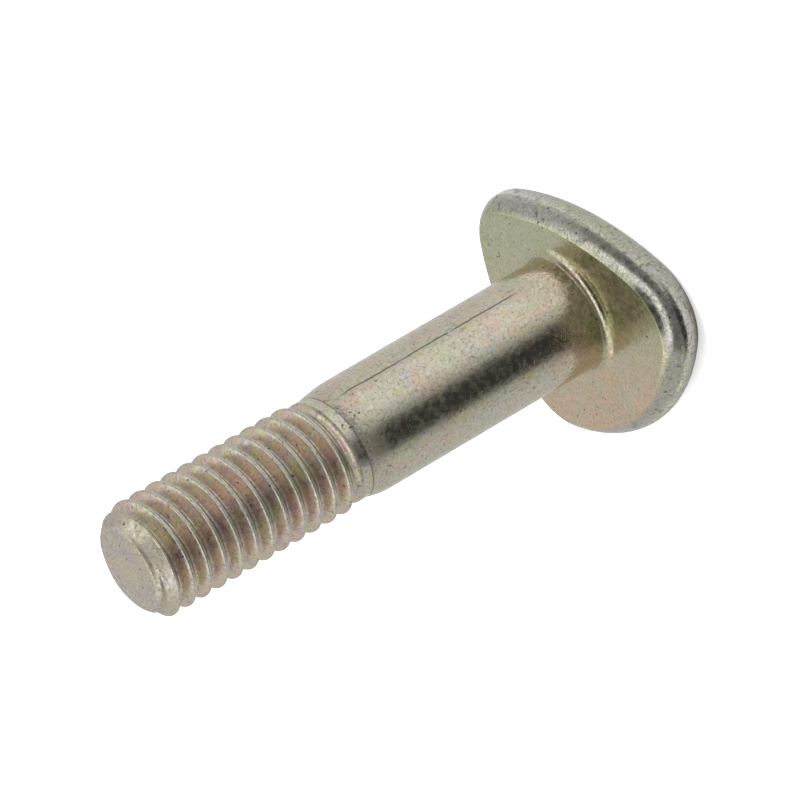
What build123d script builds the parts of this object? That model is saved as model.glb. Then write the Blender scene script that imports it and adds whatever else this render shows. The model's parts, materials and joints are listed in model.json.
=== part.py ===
"""Shoulder bolt: a three-sided head, a plain shoulder, a short neck and a threaded end, in one piece.

Millimetres. The bolt stands on its head: Z = 0 is the flat top of the head, and +Z runs along the
axis to the threaded tip. The head's nearest side faces +X.
"""

import os
from math import cos, radians, sin, tan

from build123d import *

# Head, seen along the axis: three bowed sides joined by rounded corners. Each side has the
# direction it faces, its distance from the axis and the radius of its bow, at the widest outline.
near_side_facing = 0.0
near_side_distance = 7.0
near_side_bow = 22.5
left_side_facing = 101.0
left_side_distance = 9.2
left_side_bow = 19.0
right_side_facing = -139.0
right_side_distance = 9.0
right_side_bow = 15.5
head_corner_radius = 4.5

# Head, seen from the side: two flat faces, with a half-round rim that bulges out between them.
head_thickness = 2.9
rim_bulge = 0.95
under_head_fillet = 0.8

# Shank. The lengths are measured from the head's bearing face.
shoulder_diameter = 7.9
shoulder_length = 17.4
length_under_head = 35.8

# Neck: the shoulder rounds down to it, and the thread runs out of it.
neck_diameter = 7.34
neck_rounding_length = 2.0
neck_length = 0.6
thread_runout_length = 1.9

# Thread. The solid carries the thread's outer envelope.
thread_diameter = 7.82
tip_diameter = 5.7
tip_chamfer_angle = 45.0

shoulder_radius = shoulder_diameter / 2
neck_radius = neck_diameter / 2
thread_radius = thread_diameter / 2
tip_radius = tip_diameter / 2

bearing_face_z = head_thickness
shoulder_end_z = bearing_face_z + shoulder_length
neck_start_z = shoulder_end_z + neck_rounding_length
neck_end_z = neck_start_z + neck_length
thread_start_z = neck_end_z + thread_runout_length
tip_z = bearing_face_z + length_under_head
tip_chamfer_length = (thread_radius - tip_radius) / tan(radians(tip_chamfer_angle))


def bowed_side(facing, distance, bow):
    """Centre and radius of the large circle whose near edge is one side of the head."""
    reach = distance - bow
    centre = (reach * cos(radians(facing)), reach * sin(radians(facing)))
    return centre, bow


head_sides = [
    bowed_side(near_side_facing, near_side_distance, near_side_bow),
    bowed_side(left_side_facing, left_side_distance, left_side_bow),
    bowed_side(right_side_facing, right_side_distance, right_side_bow),
]

# Widest outline of the head, halfway up its rim.
with BuildSketch(Plane.XY) as head_outline:
    for number, (centre, bow_radius) in enumerate(head_sides):
        with Locations(centre):
            Circle(bow_radius, mode=Mode.INTERSECT if number else Mode.ADD)
    fillet(head_outline.vertices(), head_corner_radius)

# Outline of the flat faces, which lies inside it by the bulge of the rim.
with BuildSketch(Plane.XY) as face_outline:
    add(head_outline.sketch)
    offset(amount=-rim_bulge, mode=Mode.REPLACE)

# Half-ellipse section of the rim, standing on the outline of the flat faces.
rim_path = face_outline.wire()
rim_plane = Plane(origin=rim_path @ 0, x_dir=(rim_path % 0).cross(Vector(0, 0, 1)), z_dir=-(rim_path % 0))
with BuildSketch(rim_plane) as rim_section:
    with Locations((0, head_thickness / 2)):
        Ellipse(rim_bulge, head_thickness / 2)

with BuildPart() as shoulder_bolt:
    # Head between its two flat faces, and the rim swept around it.
    add(face_outline.sketch)
    extrude(amount=head_thickness)
    sweep(rim_section.sketch, path=rim_path)

    # Shank turned in one profile: fillet, shoulder, neck, thread envelope and chamfered tip.
    with BuildSketch(Plane.XZ):
        with BuildLine():
            fillet_foot = (shoulder_radius + under_head_fillet, bearing_face_z)
            shoulder_start = (shoulder_radius, bearing_face_z + under_head_fillet)
            shoulder_end = (shoulder_radius, shoulder_end_z)
            neck_start = (neck_radius, neck_start_z)
            Polyline((0, 0), (fillet_foot[0], 0), fillet_foot)
            RadiusArc(fillet_foot, shoulder_start, under_head_fillet)
            Line(shoulder_start, shoulder_end)
            TangentArc(shoulder_end, neck_start, tangent=(0, 1))
            Polyline(
                neck_start,
                (neck_radius, neck_end_z),
                (thread_radius, thread_start_z),
                (thread_radius, tip_z - tip_chamfer_length),
                (tip_radius, tip_z),
                (0, tip_z),
                (0, 0),
            )
        make_face()
    revolve(axis=Axis.Z)

shoulder_bolt.part.label = "shoulder_bolt"
os.makedirs("parts", exist_ok=True)
export_step(shoulder_bolt.part, "parts/shoulder_bolt.step")
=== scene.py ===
"""The shoulder bolt as it looks: helical thread, swept rim, and pale yellow passivated zinc plate.

Metres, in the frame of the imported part: the bolt stands on its head at Z = 0 and its tip points up.
Sizes are written in millimetres, and turned into metres where a mesh or a material uses them.
"""

import json
from math import asin, atan2, cos, hypot, pi, radians, sin, tan

import bpy
import numpy as np
from mathutils import Matrix, Vector


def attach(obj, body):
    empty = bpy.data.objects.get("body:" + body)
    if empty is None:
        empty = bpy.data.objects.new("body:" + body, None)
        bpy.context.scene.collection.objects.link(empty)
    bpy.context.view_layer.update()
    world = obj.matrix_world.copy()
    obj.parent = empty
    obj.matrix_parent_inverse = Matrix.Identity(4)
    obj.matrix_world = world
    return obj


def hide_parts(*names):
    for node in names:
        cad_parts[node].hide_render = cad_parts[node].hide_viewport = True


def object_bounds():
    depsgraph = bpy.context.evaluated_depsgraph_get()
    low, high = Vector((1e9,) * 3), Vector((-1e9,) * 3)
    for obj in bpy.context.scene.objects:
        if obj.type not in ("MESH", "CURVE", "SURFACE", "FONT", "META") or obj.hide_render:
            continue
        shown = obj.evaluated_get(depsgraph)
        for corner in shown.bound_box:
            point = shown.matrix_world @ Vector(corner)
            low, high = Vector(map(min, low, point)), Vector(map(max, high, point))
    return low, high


MM = 0.001

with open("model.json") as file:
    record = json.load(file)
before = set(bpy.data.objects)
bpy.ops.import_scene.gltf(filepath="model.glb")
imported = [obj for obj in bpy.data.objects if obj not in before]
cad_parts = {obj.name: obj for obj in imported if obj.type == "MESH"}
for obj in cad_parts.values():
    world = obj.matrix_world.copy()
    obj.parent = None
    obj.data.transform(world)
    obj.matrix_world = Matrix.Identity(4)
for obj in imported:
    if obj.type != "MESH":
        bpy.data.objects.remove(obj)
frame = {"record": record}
cad_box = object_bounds()
mounts = {mount["name"]: mount for mount in frame["record"]["mounts"]}

# ---------------------------------------------------------------- sizes, in millimetres

# From the part: the mounts and the box give the heights and radii.
tip_z = cad_box[1][2] / MM
bearing_face_z = mounts["bearing_face"]["pos_m"][2] / MM
shoulder_radius = mounts["shoulder"]["dims"]["r_mm"]
thread_radius = mounts["thread"]["dims"]["r_mm"]
shoulder_middle_z = mounts["shoulder"]["pos_m"][2] / MM
shoulder_end_z = shoulder_middle_z + mounts["shoulder"]["dims"]["length_mm"] / 2

# Head outline at its widest: the direction each side faces, its distance and the radius of its bow.
head_sides = ((0.0, 7.0, 22.5), (101.0, 9.2, 19.0), (-139.0, 9.0, 15.5))
head_corner_radius = 4.5
rim_bulge = 0.94
under_head_fillet = 0.6

# Neck, and the run-out of the thread: how far before the neck's end and the run-out's end the
# crest starts and stops growing, and the same for the depth of the groove.
neck_radius = 3.67
neck_start_z = shoulder_end_z + 2.0
neck_end_z = neck_start_z + 0.6
runout_end_z = neck_end_z + 1.9
crest_lead, crest_lag = 0.3, 0.3
groove_lead, groove_lag = 0.45, 0.5

# Thread.
thread_pitch = 1.25
thread_depth = 0.6134 * thread_pitch
thread_crest_flat = thread_pitch / 8
thread_flank_angle = radians(30)
thread_rounding_share = 11.0 / 400

# Tip: 45-degree chamfer, a rounded edge and a slightly hollow end face.
tip_radius = 2.85
tip_chamfer_blend = 0.10
tip_dish = 0.05
tip_rounding = 0.55

# The helix is placed by the azimuth of the side the camera sees, and the height of a crest there.
near_azimuth = -53.2
near_crest_z = 22.9
# Past this share of a turn from there, the neck's edge drops back to its start.
edge_drop_start, edge_drop_end = 0.36, 0.5

# Mesh density.
columns = 224
rows_per_pitch = 20
rim_rows = 26
fillet_rows = 10
shoulder_rows = 23
rounding_rows = 7
last_row_gap = 0.02


# ---------------------------------------------------------------- head outline

def circle_crossing(first, second, outward):
    """The crossing of two circles (centre, radius) that lies furthest along outward."""
    (ax, ay), ra = first
    (bx, by), rb = second
    gap = hypot(bx - ax, by - ay)
    along = (ra * ra - rb * rb + gap * gap) / (2 * gap)
    side = np.sqrt(ra * ra - along * along)
    dx, dy = (bx - ax) / gap, (by - ay) / gap
    crossings = [(ax + along * dx - s * dy, ay + along * dy + s * dx) for s in (side, -side)]
    return max(crossings, key=lambda p: p[0] * outward[0] + p[1] * outward[1])


def head_arcs():
    """The outline as arcs in turn: (centre, radius, first facing, last facing), in radians."""
    sides = sorted(head_sides)
    circles = []
    for facing, distance, bow in sides:
        reach = distance - bow
        centre = (reach * cos(radians(facing)), reach * sin(radians(facing)))
        circles.append((centre, bow))
    corners = []
    for number, (facing, _, _) in enumerate(sides):
        after = (number + 1) % len(sides)
        after_facing = sides[after][0] + (360 if after == 0 else 0)
        middle = radians((facing + after_facing) / 2)
        inner = [(circles[k][0], circles[k][1] - head_corner_radius) for k in (number, after)]
        corners.append(circle_crossing(inner[0], inner[1], (cos(middle), sin(middle))))
    arcs = []
    for number, (centre, bow) in enumerate(circles):
        before = corners[number - 1]
        corner = corners[number]
        after_centre = circles[(number + 1) % len(sides)][0]
        start = atan2(before[1] - centre[1], before[0] - centre[0])
        end = atan2(corner[1] - centre[1], corner[0] - centre[0])
        turn = atan2(corner[1] - after_centre[1], corner[0] - after_centre[0])
        end = start + (end - start) % (2 * pi)
        turn = end + (turn - end) % (2 * pi)
        arcs.append((centre, bow, start, end))
        arcs.append((corner, head_corner_radius, end, turn))
    return arcs


def head_outline(angles):
    """Points of the widest outline at these angles about the axis, and the directions they face."""
    points_per_arc = 400
    points, facings = [], []
    for (cx, cy), radius, start, end in head_arcs():
        spread = np.linspace(start, end, points_per_arc, endpoint=False)
        points.append(np.c_[cx + radius * np.cos(spread), cy + radius * np.sin(spread)])
        facings.append(spread)
    points = np.vstack(points)
    facings = np.concatenate(facings)
    polar = np.unwrap(np.arctan2(points[:, 1], points[:, 0]))
    order = np.argsort(polar)
    polar, points, facings = polar[order], points[order], facings[order]
    # A turn before and a turn after, so that no angle falls off the end.
    polar = np.concatenate([polar - 2 * pi, polar, polar + 2 * pi])
    facings = np.concatenate([facings - 2 * pi, facings, facings + 2 * pi])
    points = np.vstack([points] * 3)
    found = np.c_[np.interp(angles, polar, points[:, 0]), np.interp(angles, polar, points[:, 1])]
    return found, np.interp(angles, polar, facings)


# ---------------------------------------------------------------- shank

def smooth_step(value, low, high):
    part = np.clip((value - low) / (high - low), 0.0, 1.0)
    return part * part * (3 - 2 * part)


def thread_drop():
    """How far the thread lies under its crest, over one pitch from root to root, rounded off."""
    steps = 400
    place = np.linspace(-0.5, 0.5, steps + 1)
    away = np.abs(place) * thread_pitch - thread_crest_flat / 2
    drop = np.clip(away / tan(thread_flank_angle), 0.0, thread_depth)
    kernel = np.exp(-0.5 * (np.arange(-40, 41) / (thread_rounding_share * steps)) ** 2)
    three_pitches = np.concatenate([drop[:-1]] * 3)
    rounded = np.convolve(three_pitches, kernel / kernel.sum(), "same")[steps : 2 * steps + 1]
    return place, rounded - rounded.min()


def turns_from_near_side(angle):
    return (angle - radians(near_azimuth)) / (2 * pi)


def crest_phase(z, angle):
    """Pitches from the nearest crest of the right-handed helix, from -0.5 to 0.5."""
    height = (z - near_crest_z) / thread_pitch
    return (height - turns_from_near_side(angle) + 0.5) % 1.0 - 0.5


def shank_radius(z, angle):
    """Radius of the shoulder, neck, thread and chamfer at a height and an angle."""
    # The neck's edge climbs with the helix, and drops back on the far side.
    turns = (turns_from_near_side(angle) + 0.5) % 1.0 - 0.5
    climb = thread_pitch * turns * (1 - smooth_step(np.abs(turns), edge_drop_start, edge_drop_end))
    edge = neck_start_z + climb
    fall = np.clip((z - shoulder_end_z) / (edge - shoulder_end_z), 0.0, 1.0)
    neck = shoulder_radius - (shoulder_radius - neck_radius) * fall**2
    # The thread grows out of the neck.
    place, drop = thread_drop()
    grow = smooth_step(z, neck_end_z - crest_lead + climb, runout_end_z - crest_lag + climb)
    crest = neck_radius + (thread_radius - neck_radius) * grow
    depth = smooth_step(z, neck_end_z - groove_lead + climb, runout_end_z - groove_lag + climb)
    threaded = crest - np.interp(crest_phase(z, angle), place, drop) * depth
    radius = np.where(z < edge, neck, np.minimum(threaded, thread_radius))
    # Chamfer, a little uneven as a rolled end is, blended into the thread.
    waver = 0.05 * np.sin(2 * angle + 0.6) + 0.03 * np.sin(5 * angle + 2.0)
    chamfer = tip_radius + waver + (tip_z - z)
    mixed = np.clip(0.5 + 0.5 * (chamfer - radius) / tip_chamfer_blend, 0, 1)
    return chamfer + (radius - chamfer) * mixed - tip_chamfer_blend * mixed * (1 - mixed)


# ---------------------------------------------------------------- mesh

def new_object(name, data, material=None):
    """A new object in the scene, with one material if it has a mesh."""
    made = bpy.data.objects.new(name, data)
    if material:
        data.materials.append(material)
    bpy.context.collection.objects.link(made)
    return made


def bolt_rings():
    """Rings of points, from the middle of the head's top round the rim and up to the tip."""
    angles = np.arange(columns) * 2 * pi / columns
    outline, facing = head_outline(angles)
    outward = np.c_[np.cos(facing), np.sin(facing)]
    round_way = np.c_[np.cos(angles), np.sin(angles)]
    rings = []

    def ring(flat, z):
        rings.append(np.c_[flat, np.full(columns, z)])

    # Flat top of the head, with rings close together by its crisp edge.
    top_edge = outline - rim_bulge * outward
    for share in (0.04, 0.2, 0.4, 0.6, 0.8, 0.93, 0.985, 0.996):
        ring(top_edge * share, 0.0)

    # Rim: an arc swept round the outline, with a crisp edge where it meets each face.
    half = bearing_face_z / 2
    arc_radius = (rim_bulge**2 + half**2) / (2 * rim_bulge)
    arc_end = asin(half / arc_radius)
    edge_row = 0.975
    between = np.linspace(-arc_end * edge_row, arc_end * edge_row, rim_rows)
    for lean in np.concatenate([[-arc_end], between, [arc_end]]):
        bulge = rim_bulge - arc_radius * (1 - cos(lean))
        ring(top_edge + outward * max(bulge, 0.0), half + arc_radius * sin(lean))

    # Bearing face, in to the foot of the fillet.
    fillet_foot = round_way * (shoulder_radius + under_head_fillet)
    for share in (0.008, 0.03, 0.1, 0.25, 0.4, 0.6, 0.8, 0.94):
        ring(top_edge + (fillet_foot - top_edge) * share, bearing_face_z)
    for lean in np.linspace(0, pi / 2, fillet_rows + 1):
        reach = shoulder_radius + under_head_fillet * (1 - sin(lean))
        ring(round_way * reach, bearing_face_z + under_head_fillet * (1 - cos(lean)))

    # Shoulder, then neck and thread up to the rounding of the tip.
    first_z = bearing_face_z + under_head_fillet
    plain = np.linspace(first_z, shoulder_end_z, shoulder_rows + 1)[1:]
    lowest_edge_z = neck_start_z - thread_pitch / 2
    rounding = np.linspace(shoulder_end_z, lowest_edge_z, rounding_rows + 1)[1:]
    row_height = thread_pitch / rows_per_pitch
    last_z = tip_z - tip_rounding * (1 - sin(radians(45))) - last_row_gap
    threaded = np.arange(rounding[-1] + row_height, last_z, row_height)
    for z in np.concatenate([plain, rounding, threaded]):
        ring(round_way * shank_radius(np.full(columns, z), angles)[:, None], float(z))

    # Rounded edge of the end face, and the slight hollow inside it.
    edge_radius = shank_radius(np.full(columns, tip_z), angles)
    face_radius = edge_radius - tip_rounding * tan(radians(22.5))
    for lean in np.radians((54, 63, 72, 81, 88)):
        reach = face_radius + tip_rounding * cos(lean)
        ring(round_way * reach[:, None], tip_z - tip_rounding * (1 - sin(lean)))
    for share in (0.97, 0.9, 0.7, 0.45, 0.2, 0.04):
        ring(round_way * (face_radius * share)[:, None], tip_z - tip_dish * (1 - share**2))
    return rings


def build_bolt(material):
    """One closed mesh: quads between the rings, and a fan at each end."""
    rings = bolt_rings()
    base = np.arange(columns)
    after = (base + 1) % columns
    quads = []
    for row in range(len(rings) - 1):
        low, high = row * columns, (row + 1) * columns
        quads.append(np.c_[low + base, low + after, high + after, high + base])
    middle_of_top = len(rings) * columns
    middle_of_tip = middle_of_top + 1
    last = (len(rings) - 1) * columns
    fans = [[middle_of_top, int(after[k]), int(k)] for k in base]
    fans += [[middle_of_tip, int(last + k), int(last + after[k])] for k in base]
    vertices = np.vstack([*rings, [0, 0, 0], [0, 0, tip_z - tip_dish]]) * MM
    mesh = bpy.data.meshes.new("bolt_body")
    mesh.from_pydata(vertices.tolist(), [], np.vstack(quads).tolist() + fans)
    mesh.validate()
    mesh.shade_smooth()
    return new_object("bolt_body", mesh, material)


# ---------------------------------------------------------------- nodes

class Nodes:
    """A short way to write a node tree."""

    def __init__(self, owner):
        owner.use_nodes = True
        self.tree = owner.node_tree
        self.tree.nodes.clear()

    def feed(self, socket, value):
        if isinstance(value, bpy.types.NodeSocket):
            self.tree.links.new(value, socket)
        else:
            socket.default_value = value

    def add(self, kind, **inputs):
        """A node of this kind; an input's name has _ for a space."""
        node = self.tree.nodes.new(kind)
        for name, value in inputs.items():
            self.feed(node.inputs[name.replace("_", " ")], value)
        return node

    def end(self, kind, surface):
        self.tree.links.new(surface, self.add(kind).inputs[0])

    def math(self, operation, first, second=0.0, third=0.0):
        node = self.add("ShaderNodeMath")
        node.operation = operation
        for socket, value in zip(node.inputs, (first, second, third)):
            self.feed(socket, value)
        return node.outputs[0]

    def ramp(self, value, low, high, out_low=0.0, out_high=1.0):
        """A smooth step from out_low at low to out_high at high."""
        node = self.add("ShaderNodeMapRange")
        node.interpolation_type = "SMOOTHSTEP"
        for socket, item in zip(node.inputs, (value, low, high, out_low, out_high)):
            self.feed(socket, item)
        return node.outputs[0]

    def blend(self, amount, first, second):
        node = self.add("ShaderNodeMix")
        node.data_type = "RGBA"
        factor, colour_a, colour_b = (node.inputs[k] for k in (0, 6, 7))
        self.feed(factor, amount)
        self.feed(colour_a, first)
        self.feed(colour_b, second)
        return node.outputs[2]

    def noise(self, place, scale, detail, roughness, distortion=0.0):
        return self.add(
            "ShaderNodeTexNoise",
            Vector=place,
            Scale=scale,
            Detail=detail,
            Roughness=roughness,
            Distortion=distortion,
        ).outputs[0]

    def grey_levels(self, share, levels, span):
        """Greys at angles in degrees, where share runs from 0 to 1 over the span round 0."""
        ramp = self.add("ShaderNodeValToRGB", Fac=share)
        stops = ramp.color_ramp.elements
        while len(stops) < len(levels):
            stops.new(0.5)
        for stop, (angle, level) in zip(stops, levels):
            stop.position = angle / span + 0.5
            stop.color = (level, level, level, 1.0)
        return ramp.outputs[0]


def grey(level):
    return (level, level, level, 1.0)


def tint(red, green, blue):
    """An sRGB colour, 0 to 255, as the linear colour that the nodes take."""
    channels = []
    for value in (red, green, blue):
        share = value / 255
        channels.append(share / 12.92 if share <= 0.04045 else ((share + 0.055) / 1.055) ** 2.4)
    return (*channels, 1.0)


# ---------------------------------------------------------------- zinc plate

# Azimuth and half-width of the painted reflection along the shoulder, a thin dark line, and how far
# it wanders, in radians.
painted_reflection_line_azimuth = radians(-10.5)
painted_reflection_line_edges = (0.024, 0.008)
painted_reflection_line_wander = 0.012
# Heights over which it fades in and out, in millimetres.
painted_reflection_line_start = (6.6, 8.0)
painted_reflection_line_end = (22.0, 20.6)


def film_colour(n, place, height, reach, x):
    """Passivation film: soft gold, pink, green and lilac patches on pale grey-yellow."""
    wide = n.noise(place, 210.0, 2.0, 0.5, 0.5)
    film = n.noise(place, 430.0, 3.0, 0.6, 0.8)
    veil = n.noise(place, 900.0, 3.0, 0.6, 0.4)
    colour = n.blend(n.ramp(wide, 0.40, 0.60), tint(201, 198, 178), tint(203, 193, 177))
    patches = (
        (film, 0.52, 0.66, 0.9, tint(192, 197, 170)),
        (film, 0.46, 0.34, 0.9, tint(209, 188, 173)),
        (veil, 0.54, 0.68, 0.6, tint(207, 196, 152)),
        (veil, 0.44, 0.32, 0.6, tint(196, 197, 199)),
    )
    for field, start, full, most, shade in patches:
        colour = n.blend(n.ramp(field, start, full, 0.0, most), colour, shade)

    # Golden round the foot of the shank.
    gold = n.blend(n.ramp(film, 0.42, 0.58), tint(205, 182, 156), tint(184, 182, 140))
    colour = n.blend(n.ramp(height, 9.0, 4.0, 0.0, 0.65), colour, gold)

    # Pink on one side of the bearing face, and green on the other.
    across = n.math("DIVIDE", x, MM)
    face = n.blend(n.ramp(across, -5.0, 4.0), tint(214, 188, 160), tint(186, 192, 158))
    face = n.blend(n.ramp(veil, 0.46, 0.60, 0.0, 0.6), face, tint(200, 196, 176))
    colour = n.blend(n.ramp(height, 3.1, 2.95, 0.0, 0.85), colour, face)

    # Greyer on the rim.
    on_rim = n.math("MULTIPLY", n.ramp(reach, 5.6, 6.4), n.ramp(height, 2.88, 2.70))
    rim = n.blend(n.ramp(film, 0.4, 0.6), tint(186, 181, 176), tint(184, 186, 166))
    return n.blend(on_rim, colour, rim), on_rim, wide, film, veil


def thread_colour_and_highlights(n, height, turn, film, veil):
    """Pink-tan flanks, with painted highlights: paler green-white lines along the crest and the root.
    """
    start = -near_crest_z / thread_pitch
    phase = n.math("ADD", n.math("MULTIPLY_ADD", height, 1 / thread_pitch, start), turn)
    from_crest = n.math("PINGPONG", phase, 0.5)
    pale = tint(205, 209, 194)
    colour = n.blend(n.ramp(film, 0.42, 0.60), tint(220, 198, 182), tint(214, 206, 178))
    colour = n.blend(n.ramp(veil, 0.50, 0.62, 0.0, 0.7), colour, tint(202, 186, 188))
    # Painted highlights: paler green-white lines along the crest and along the root.
    colour = n.blend(n.ramp(from_crest, 0.12, 0.04, 0.0, 0.8), colour, pale)
    colour = n.blend(n.ramp(from_crest, 0.44, 0.49, 0.0, 0.5), colour, pale)
    # Chamfer and end face.
    end = n.blend(n.ramp(film, 0.40, 0.56), tint(196, 188, 180), tint(206, 196, 174))
    return n.blend(n.ramp(height, tip_z - 1.05, tip_z - 0.75), colour, end)


def painted_reflection_line(n, place, height, azimuth, veil):
    """A painted reflection: a thin dark line along the shoulder, broken here and there."""
    wander = n.ramp(
        n.noise(place, 300.0, 3.0, 0.6), 0.3, 0.7, -painted_reflection_line_wander, painted_reflection_line_wander
    )
    away = n.math("ADD", n.math("ADD", azimuth, -painted_reflection_line_azimuth), wander)
    across = n.ramp(n.math("ABSOLUTE", away), *painted_reflection_line_edges)
    ends = (n.ramp(height, *painted_reflection_line_start), n.ramp(height, *painted_reflection_line_end))
    along = n.math("MULTIPLY", *ends)
    breaks = n.ramp(veil, 0.30, 0.46, 0.35, 0.9)
    return n.math("MULTIPLY", n.math("MULTIPLY", across, along), breaks)


def neck_crease_shade(n, height, turn):
    """Painted shade: a thin dark line in the crease where the rounding of the shoulder meets the
    neck.
    """
    turns = n.math("WRAP", n.math("MULTIPLY", turn, -1.0), 0.5, -0.5)
    held = n.ramp(n.math("ABSOLUTE", turns), edge_drop_start, edge_drop_end, 1.0, 0.0)
    edge = n.math("MULTIPLY_ADD", n.math("MULTIPLY", turns, held), thread_pitch, neck_start_z)
    above = n.math("SUBTRACT", height, edge)
    line = n.math("MULTIPLY", n.ramp(above, -0.10, -0.03), n.ramp(above, 0.06, 0.0))
    return n.math("MULTIPLY", line, 0.6)


def zinc_plate():
    material = bpy.data.materials.new("pale_yellow_zinc")
    n = Nodes(material)
    place = n.add("ShaderNodeTexCoord").outputs["Object"]
    x, y, z = n.add("ShaderNodeSeparateXYZ", Vector=place).outputs
    azimuth = n.math("ARCTAN2", y, x)
    height = n.math("DIVIDE", z, MM)
    squares = n.math("ADD", n.math("MULTIPLY", x, x), n.math("MULTIPLY", y, y))
    reach = n.math("DIVIDE", n.math("SQRT", squares), MM)
    # Turns back from the near side, as the thread winds.
    turn = n.math("MULTIPLY_ADD", azimuth, -1 / (2 * pi), radians(near_azimuth) / (2 * pi))

    colour, on_rim, wide, film, veil = film_colour(n, place, height, reach, x)
    threaded = n.ramp(height, neck_start_z, neck_start_z + 0.9)
    colour = n.blend(threaded, colour, thread_colour_and_highlights(n, height, turn, film, veil))

    # Fine crystalline grain, dark and bright, and small dark pits that come in clusters.
    grain = n.noise(place, 4600.0, 2.0, 0.6)
    speck = n.noise(place, 5200.0, 2.0, 0.6)
    pits = n.noise(place, 3300.0, 1.0, 0.4)
    clouds = n.noise(place, 700.0, 2.0, 0.5)
    pitted = n.math("MULTIPLY", n.ramp(pits, 0.70, 0.76, 0.0, 0.8), n.ramp(clouds, 0.42, 0.60))
    colour = n.blend(n.ramp(speck, 0.52, 0.72, 0.0, 0.52), colour, tint(112, 108, 88))
    colour = n.blend(n.ramp(speck, 0.46, 0.30, 0.0, 0.45), colour, tint(228, 225, 210))
    colour = n.blend(pitted, colour, tint(64, 60, 50))

    # Painted reflection: a thin dark line along the shoulder.
    line = painted_reflection_line(n, place, height, azimuth, veil)
    colour = n.blend(line, colour, tint(96, 102, 94))
    # Painted shade: a thin dark line in the crease at the neck.
    colour = n.blend(neck_crease_shade(n, height, turn), colour, tint(84, 80, 62))
    scuffs = n.ramp(n.noise(place, 1300.0, 3.0, 0.7, 1.5), 0.54, 0.66, 0.0, 0.6)
    colour = n.blend(n.math("MULTIPLY", scuffs, on_rim), colour, tint(92, 88, 82))

    # Mottled gloss, duller on the thread.
    mottle = n.noise(place, 2600.0, 3.0, 0.7)
    gloss = n.ramp(mottle, 0.36, 0.64, 0.10, 0.31)
    roughness = n.math("ADD", gloss, n.ramp(wide, 0.3, 0.7, -0.02, 0.04))
    roughness = n.math("ADD", roughness, n.math("MULTIPLY", threaded, 0.16))
    uneven = n.math("ADD", grain, n.math("MULTIPLY", n.math("ADD", line, pitted), -1.5))
    fine = n.add("ShaderNodeBump", Strength=0.45, Distance=0.02 * MM, Height=uneven).outputs[0]
    bump = n.add(
        "ShaderNodeBump", Strength=0.25, Distance=0.08 * MM, Height=clouds, Normal=fine
    ).outputs[0]
    shader = n.add(
        "ShaderNodeBsdfPrincipled",
        Base_Color=colour,
        Metallic=1.0,
        Roughness=roughness,
        Normal=bump,
    )
    n.end("ShaderNodeOutputMaterial", shader.outputs[0])
    return material


bolt = build_bolt(zinc_plate())
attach(bolt, "root")
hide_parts("shoulder_bolt")


# ---------------------------------------------------------------- floor and studio

# Brightness that the plate sees on the floor round it, by azimuth in degrees.
floor_levels = (
    (-175, 0.66),
    (-150, 0.68),
    (-128, 0.60),
    (-116, 0.48),
    (-106, 0.12),
    (-96, 0.05),
    (-72, 0.05),
    (-62, 0.16),
    (-52, 0.52),
    (-40, 0.74),
    (-28, 0.95),
    (8, 0.98),
    (20, 0.80),
    (60, 0.74),
    (110, 0.76),
    (175, 0.66),
)
# Brightness of the studio by elevation in degrees, on the near side and on the far side.
near_levels = (
    (-5, 0.30),
    (14, 0.22),
    (30, 0.16),
    (37, 0.60),
    (42, 1.55),
    (56, 1.55),
    (65, 0.12),
    (90, 0.05),
)
far_levels = ((-5, 0.62), (34, 0.66), (42, 1.2), (60, 1.1), (70, 0.12), (90, 0.05))

# Metres: half the floor's side, and the inner and outer radius and height of the ring on it.
half_floor = 3.0
card_near, card_far, card_lift = 0.013, 0.6, 0.0002
# The ring's sectors fade a little between these distances from the axis.
card_fade_start, card_fade_end, card_fade = 0.045, 0.072, 0.25
card_sides = 96

white = grey(1.0)
# What the floor adds for the camera, and the plain level of the studio.
floor_glow = 0.55
soft_level = 0.55


def make_floor():
    """White to the camera, but for the shadow."""
    material = bpy.data.materials.new("white_floor")
    n = Nodes(material)
    rays = n.add("ShaderNodeLightPath")
    matte = n.add("ShaderNodeBsdfDiffuse", Color=grey(0.8)).outputs[0]
    glow = n.add("ShaderNodeEmission", Color=white, Strength=floor_glow).outputs[0]
    both = n.add("ShaderNodeAddShader")
    n.feed(both.inputs[0], matte)
    n.feed(both.inputs[1], glow)
    pick = n.add("ShaderNodeMixShader", Fac=rays.outputs["Is Camera Ray"])
    n.feed(pick.inputs[1], matte)
    n.feed(pick.inputs[2], both.outputs[0])
    n.end("ShaderNodeOutputMaterial", pick.outputs[0])
    corners = [(half_floor * a, half_floor * b, 0) for a, b in ((-1, -1), (1, -1), (1, 1), (-1, 1))]
    mesh = bpy.data.meshes.new("floor")
    mesh.from_pydata(corners, [], [(0, 1, 2, 3)])
    floor = new_object("floor", mesh, material)


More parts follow.
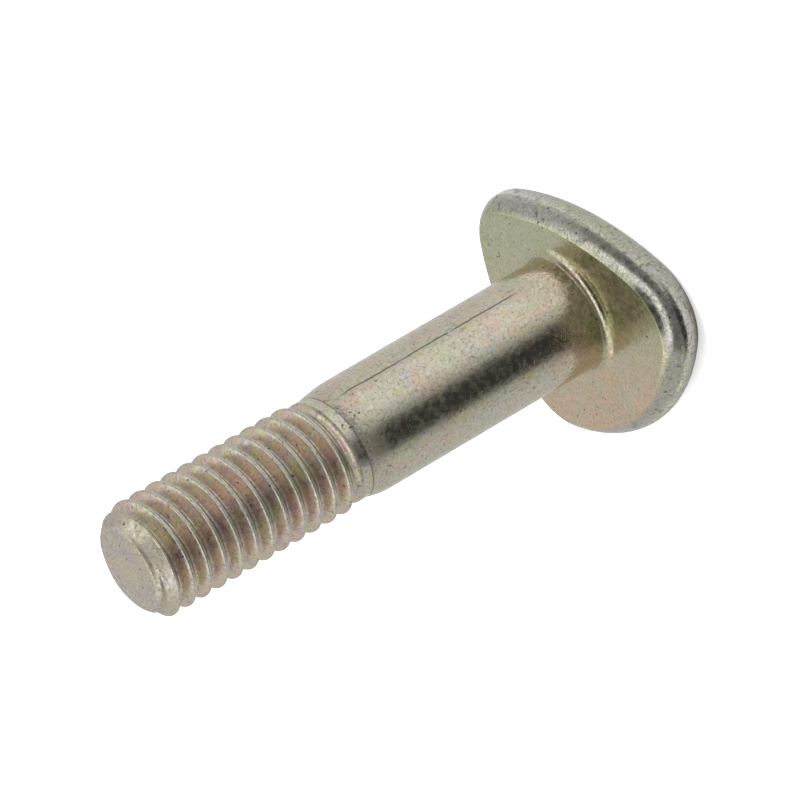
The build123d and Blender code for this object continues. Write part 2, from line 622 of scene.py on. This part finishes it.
def make_reflection_card():
    """A ring that lies on the floor and is seen only in reflections, darker on some sides."""
    material = bpy.data.materials.new("reflection_card")
    n = Nodes(material)
    place = n.add("ShaderNodeTexCoord").outputs["Object"]
    x, y, _ = n.add("ShaderNodeSeparateXYZ", Vector=place).outputs
    share = n.math("MULTIPLY_ADD", n.math("ARCTAN2", y, x), 1 / (2 * pi), 0.5)
    sectors = n.grey_levels(share, floor_levels, 360)
    squares = n.math("ADD", n.math("MULTIPLY", x, x), n.math("MULTIPLY", y, y))
    fade = n.ramp(n.math("SQRT", squares), card_fade_start, card_fade_end, 0.0, card_fade)
    glow = n.add("ShaderNodeEmission", Color=n.blend(fade, sectors, grey(0.60)), Strength=1.0)
    n.end("ShaderNodeOutputMaterial", glow.outputs[0])
    spread = np.arange(card_sides) * 2 * pi / card_sides
    corners = [(r * cos(a), r * sin(a), card_lift) for r in (card_near, card_far) for a in spread]
    steps = [(k, (k + 1) % card_sides) for k in range(card_sides)]
    faces = [(k, after, card_sides + after, card_sides + k) for k, after in steps]
    mesh = bpy.data.meshes.new("reflection_card")
    mesh.from_pydata(corners, [], faces)
    card = new_object("reflection_card", mesh, material)
    card.visible_camera = False
    card.visible_shadow = False
    card.visible_diffuse = False


def make_world():
    """Soft studio: white to the camera, and in reflections brighter or darker by direction."""
    world = bpy.data.worlds.new("studio")
    bpy.context.scene.world = world
    n = Nodes(world)
    way = n.add("ShaderNodeTexCoord").outputs["Generated"]
    x, y, z = n.add("ShaderNodeSeparateXYZ", Vector=way).outputs
    rise = n.math("MULTIPLY_ADD", n.math("ARCSINE", z), 1 / pi, 0.5)
    near_shade = n.grey_levels(rise, near_levels, 180)
    far_shade = n.grey_levels(rise, far_levels, 180)
    toward = n.math("MULTIPLY", x, cos(radians(near_azimuth)))
    toward = n.math("MULTIPLY_ADD", y, sin(radians(near_azimuth)), toward)
    shade = n.blend(n.ramp(toward, -0.25, 0.25), far_shade, near_shade)
    rays = n.add("ShaderNodeLightPath")
    soft = n.blend(rays.outputs["Is Glossy Ray"], grey(soft_level), shade)
    seen = n.blend(rays.outputs["Is Camera Ray"], soft, white)
    back = n.add("ShaderNodeBackground", Color=seen, Strength=1.0)
    n.end("ShaderNodeOutputWorld", back.outputs[0])


def direction(azimuth, elevation):
    """Unit vector towards an azimuth and elevation in degrees."""
    turn, rise = radians(azimuth), radians(elevation)
    return Vector((cos(rise) * cos(turn), cos(rise) * sin(turn), sin(rise)))


def soft_lamp(name, azimuth, elevation, power):
    """A round area lamp that shines on the middle of the bolt and isn't seen in reflections."""
    distance, size = 0.6, 0.4
    lamp_data = bpy.data.lights.new(name, "AREA")
    lamp_data.shape = "DISK"
    lamp_data.size = size
    lamp_data.energy = power
    lamp = new_object(name, lamp_data)
    outward = direction(azimuth, elevation)
    lamp.location = Vector((0.0, 0.0, tip_z * MM / 2)) + outward * distance
    lamp.rotation_euler = outward.to_track_quat("Z", "Y").to_euler()
    lamp.visible_glossy = False


# ---------------------------------------------------------------- camera

def make_camera():
    """Looks down on the tip from the near side, and is rolled so that the bolt lies slantwise."""
    azimuth, elevation = -53.18, 26.86
    roll = radians(-120.35)
    distance = 0.41208
    aim = Vector((0.00042, 0.00031, 0.016555))
    outward = direction(azimuth, elevation)
    camera_data = bpy.data.cameras.new("camera")
    camera_data.lens = 292.9
    camera_data.sensor_width = 36.0
    camera_data.clip_start = 0.01
    camera = new_object("camera", camera_data)
    turned = outward.to_track_quat("Z", "Y").to_matrix() @ Matrix.Rotation(roll, 3, "Z")
    camera.matrix_world = Matrix.Translation(aim + outward * distance) @ turned.to_4x4()
    bpy.context.scene.camera = camera


make_floor()
make_reflection_card()
make_world()
soft_lamp("key_lamp", 10.0, 40.0, 3.0)
soft_lamp("fill_lamp", 160.0, 50.0, 1.5)
make_camera()
bpy.context.scene.view_settings.view_transform = "Standard"
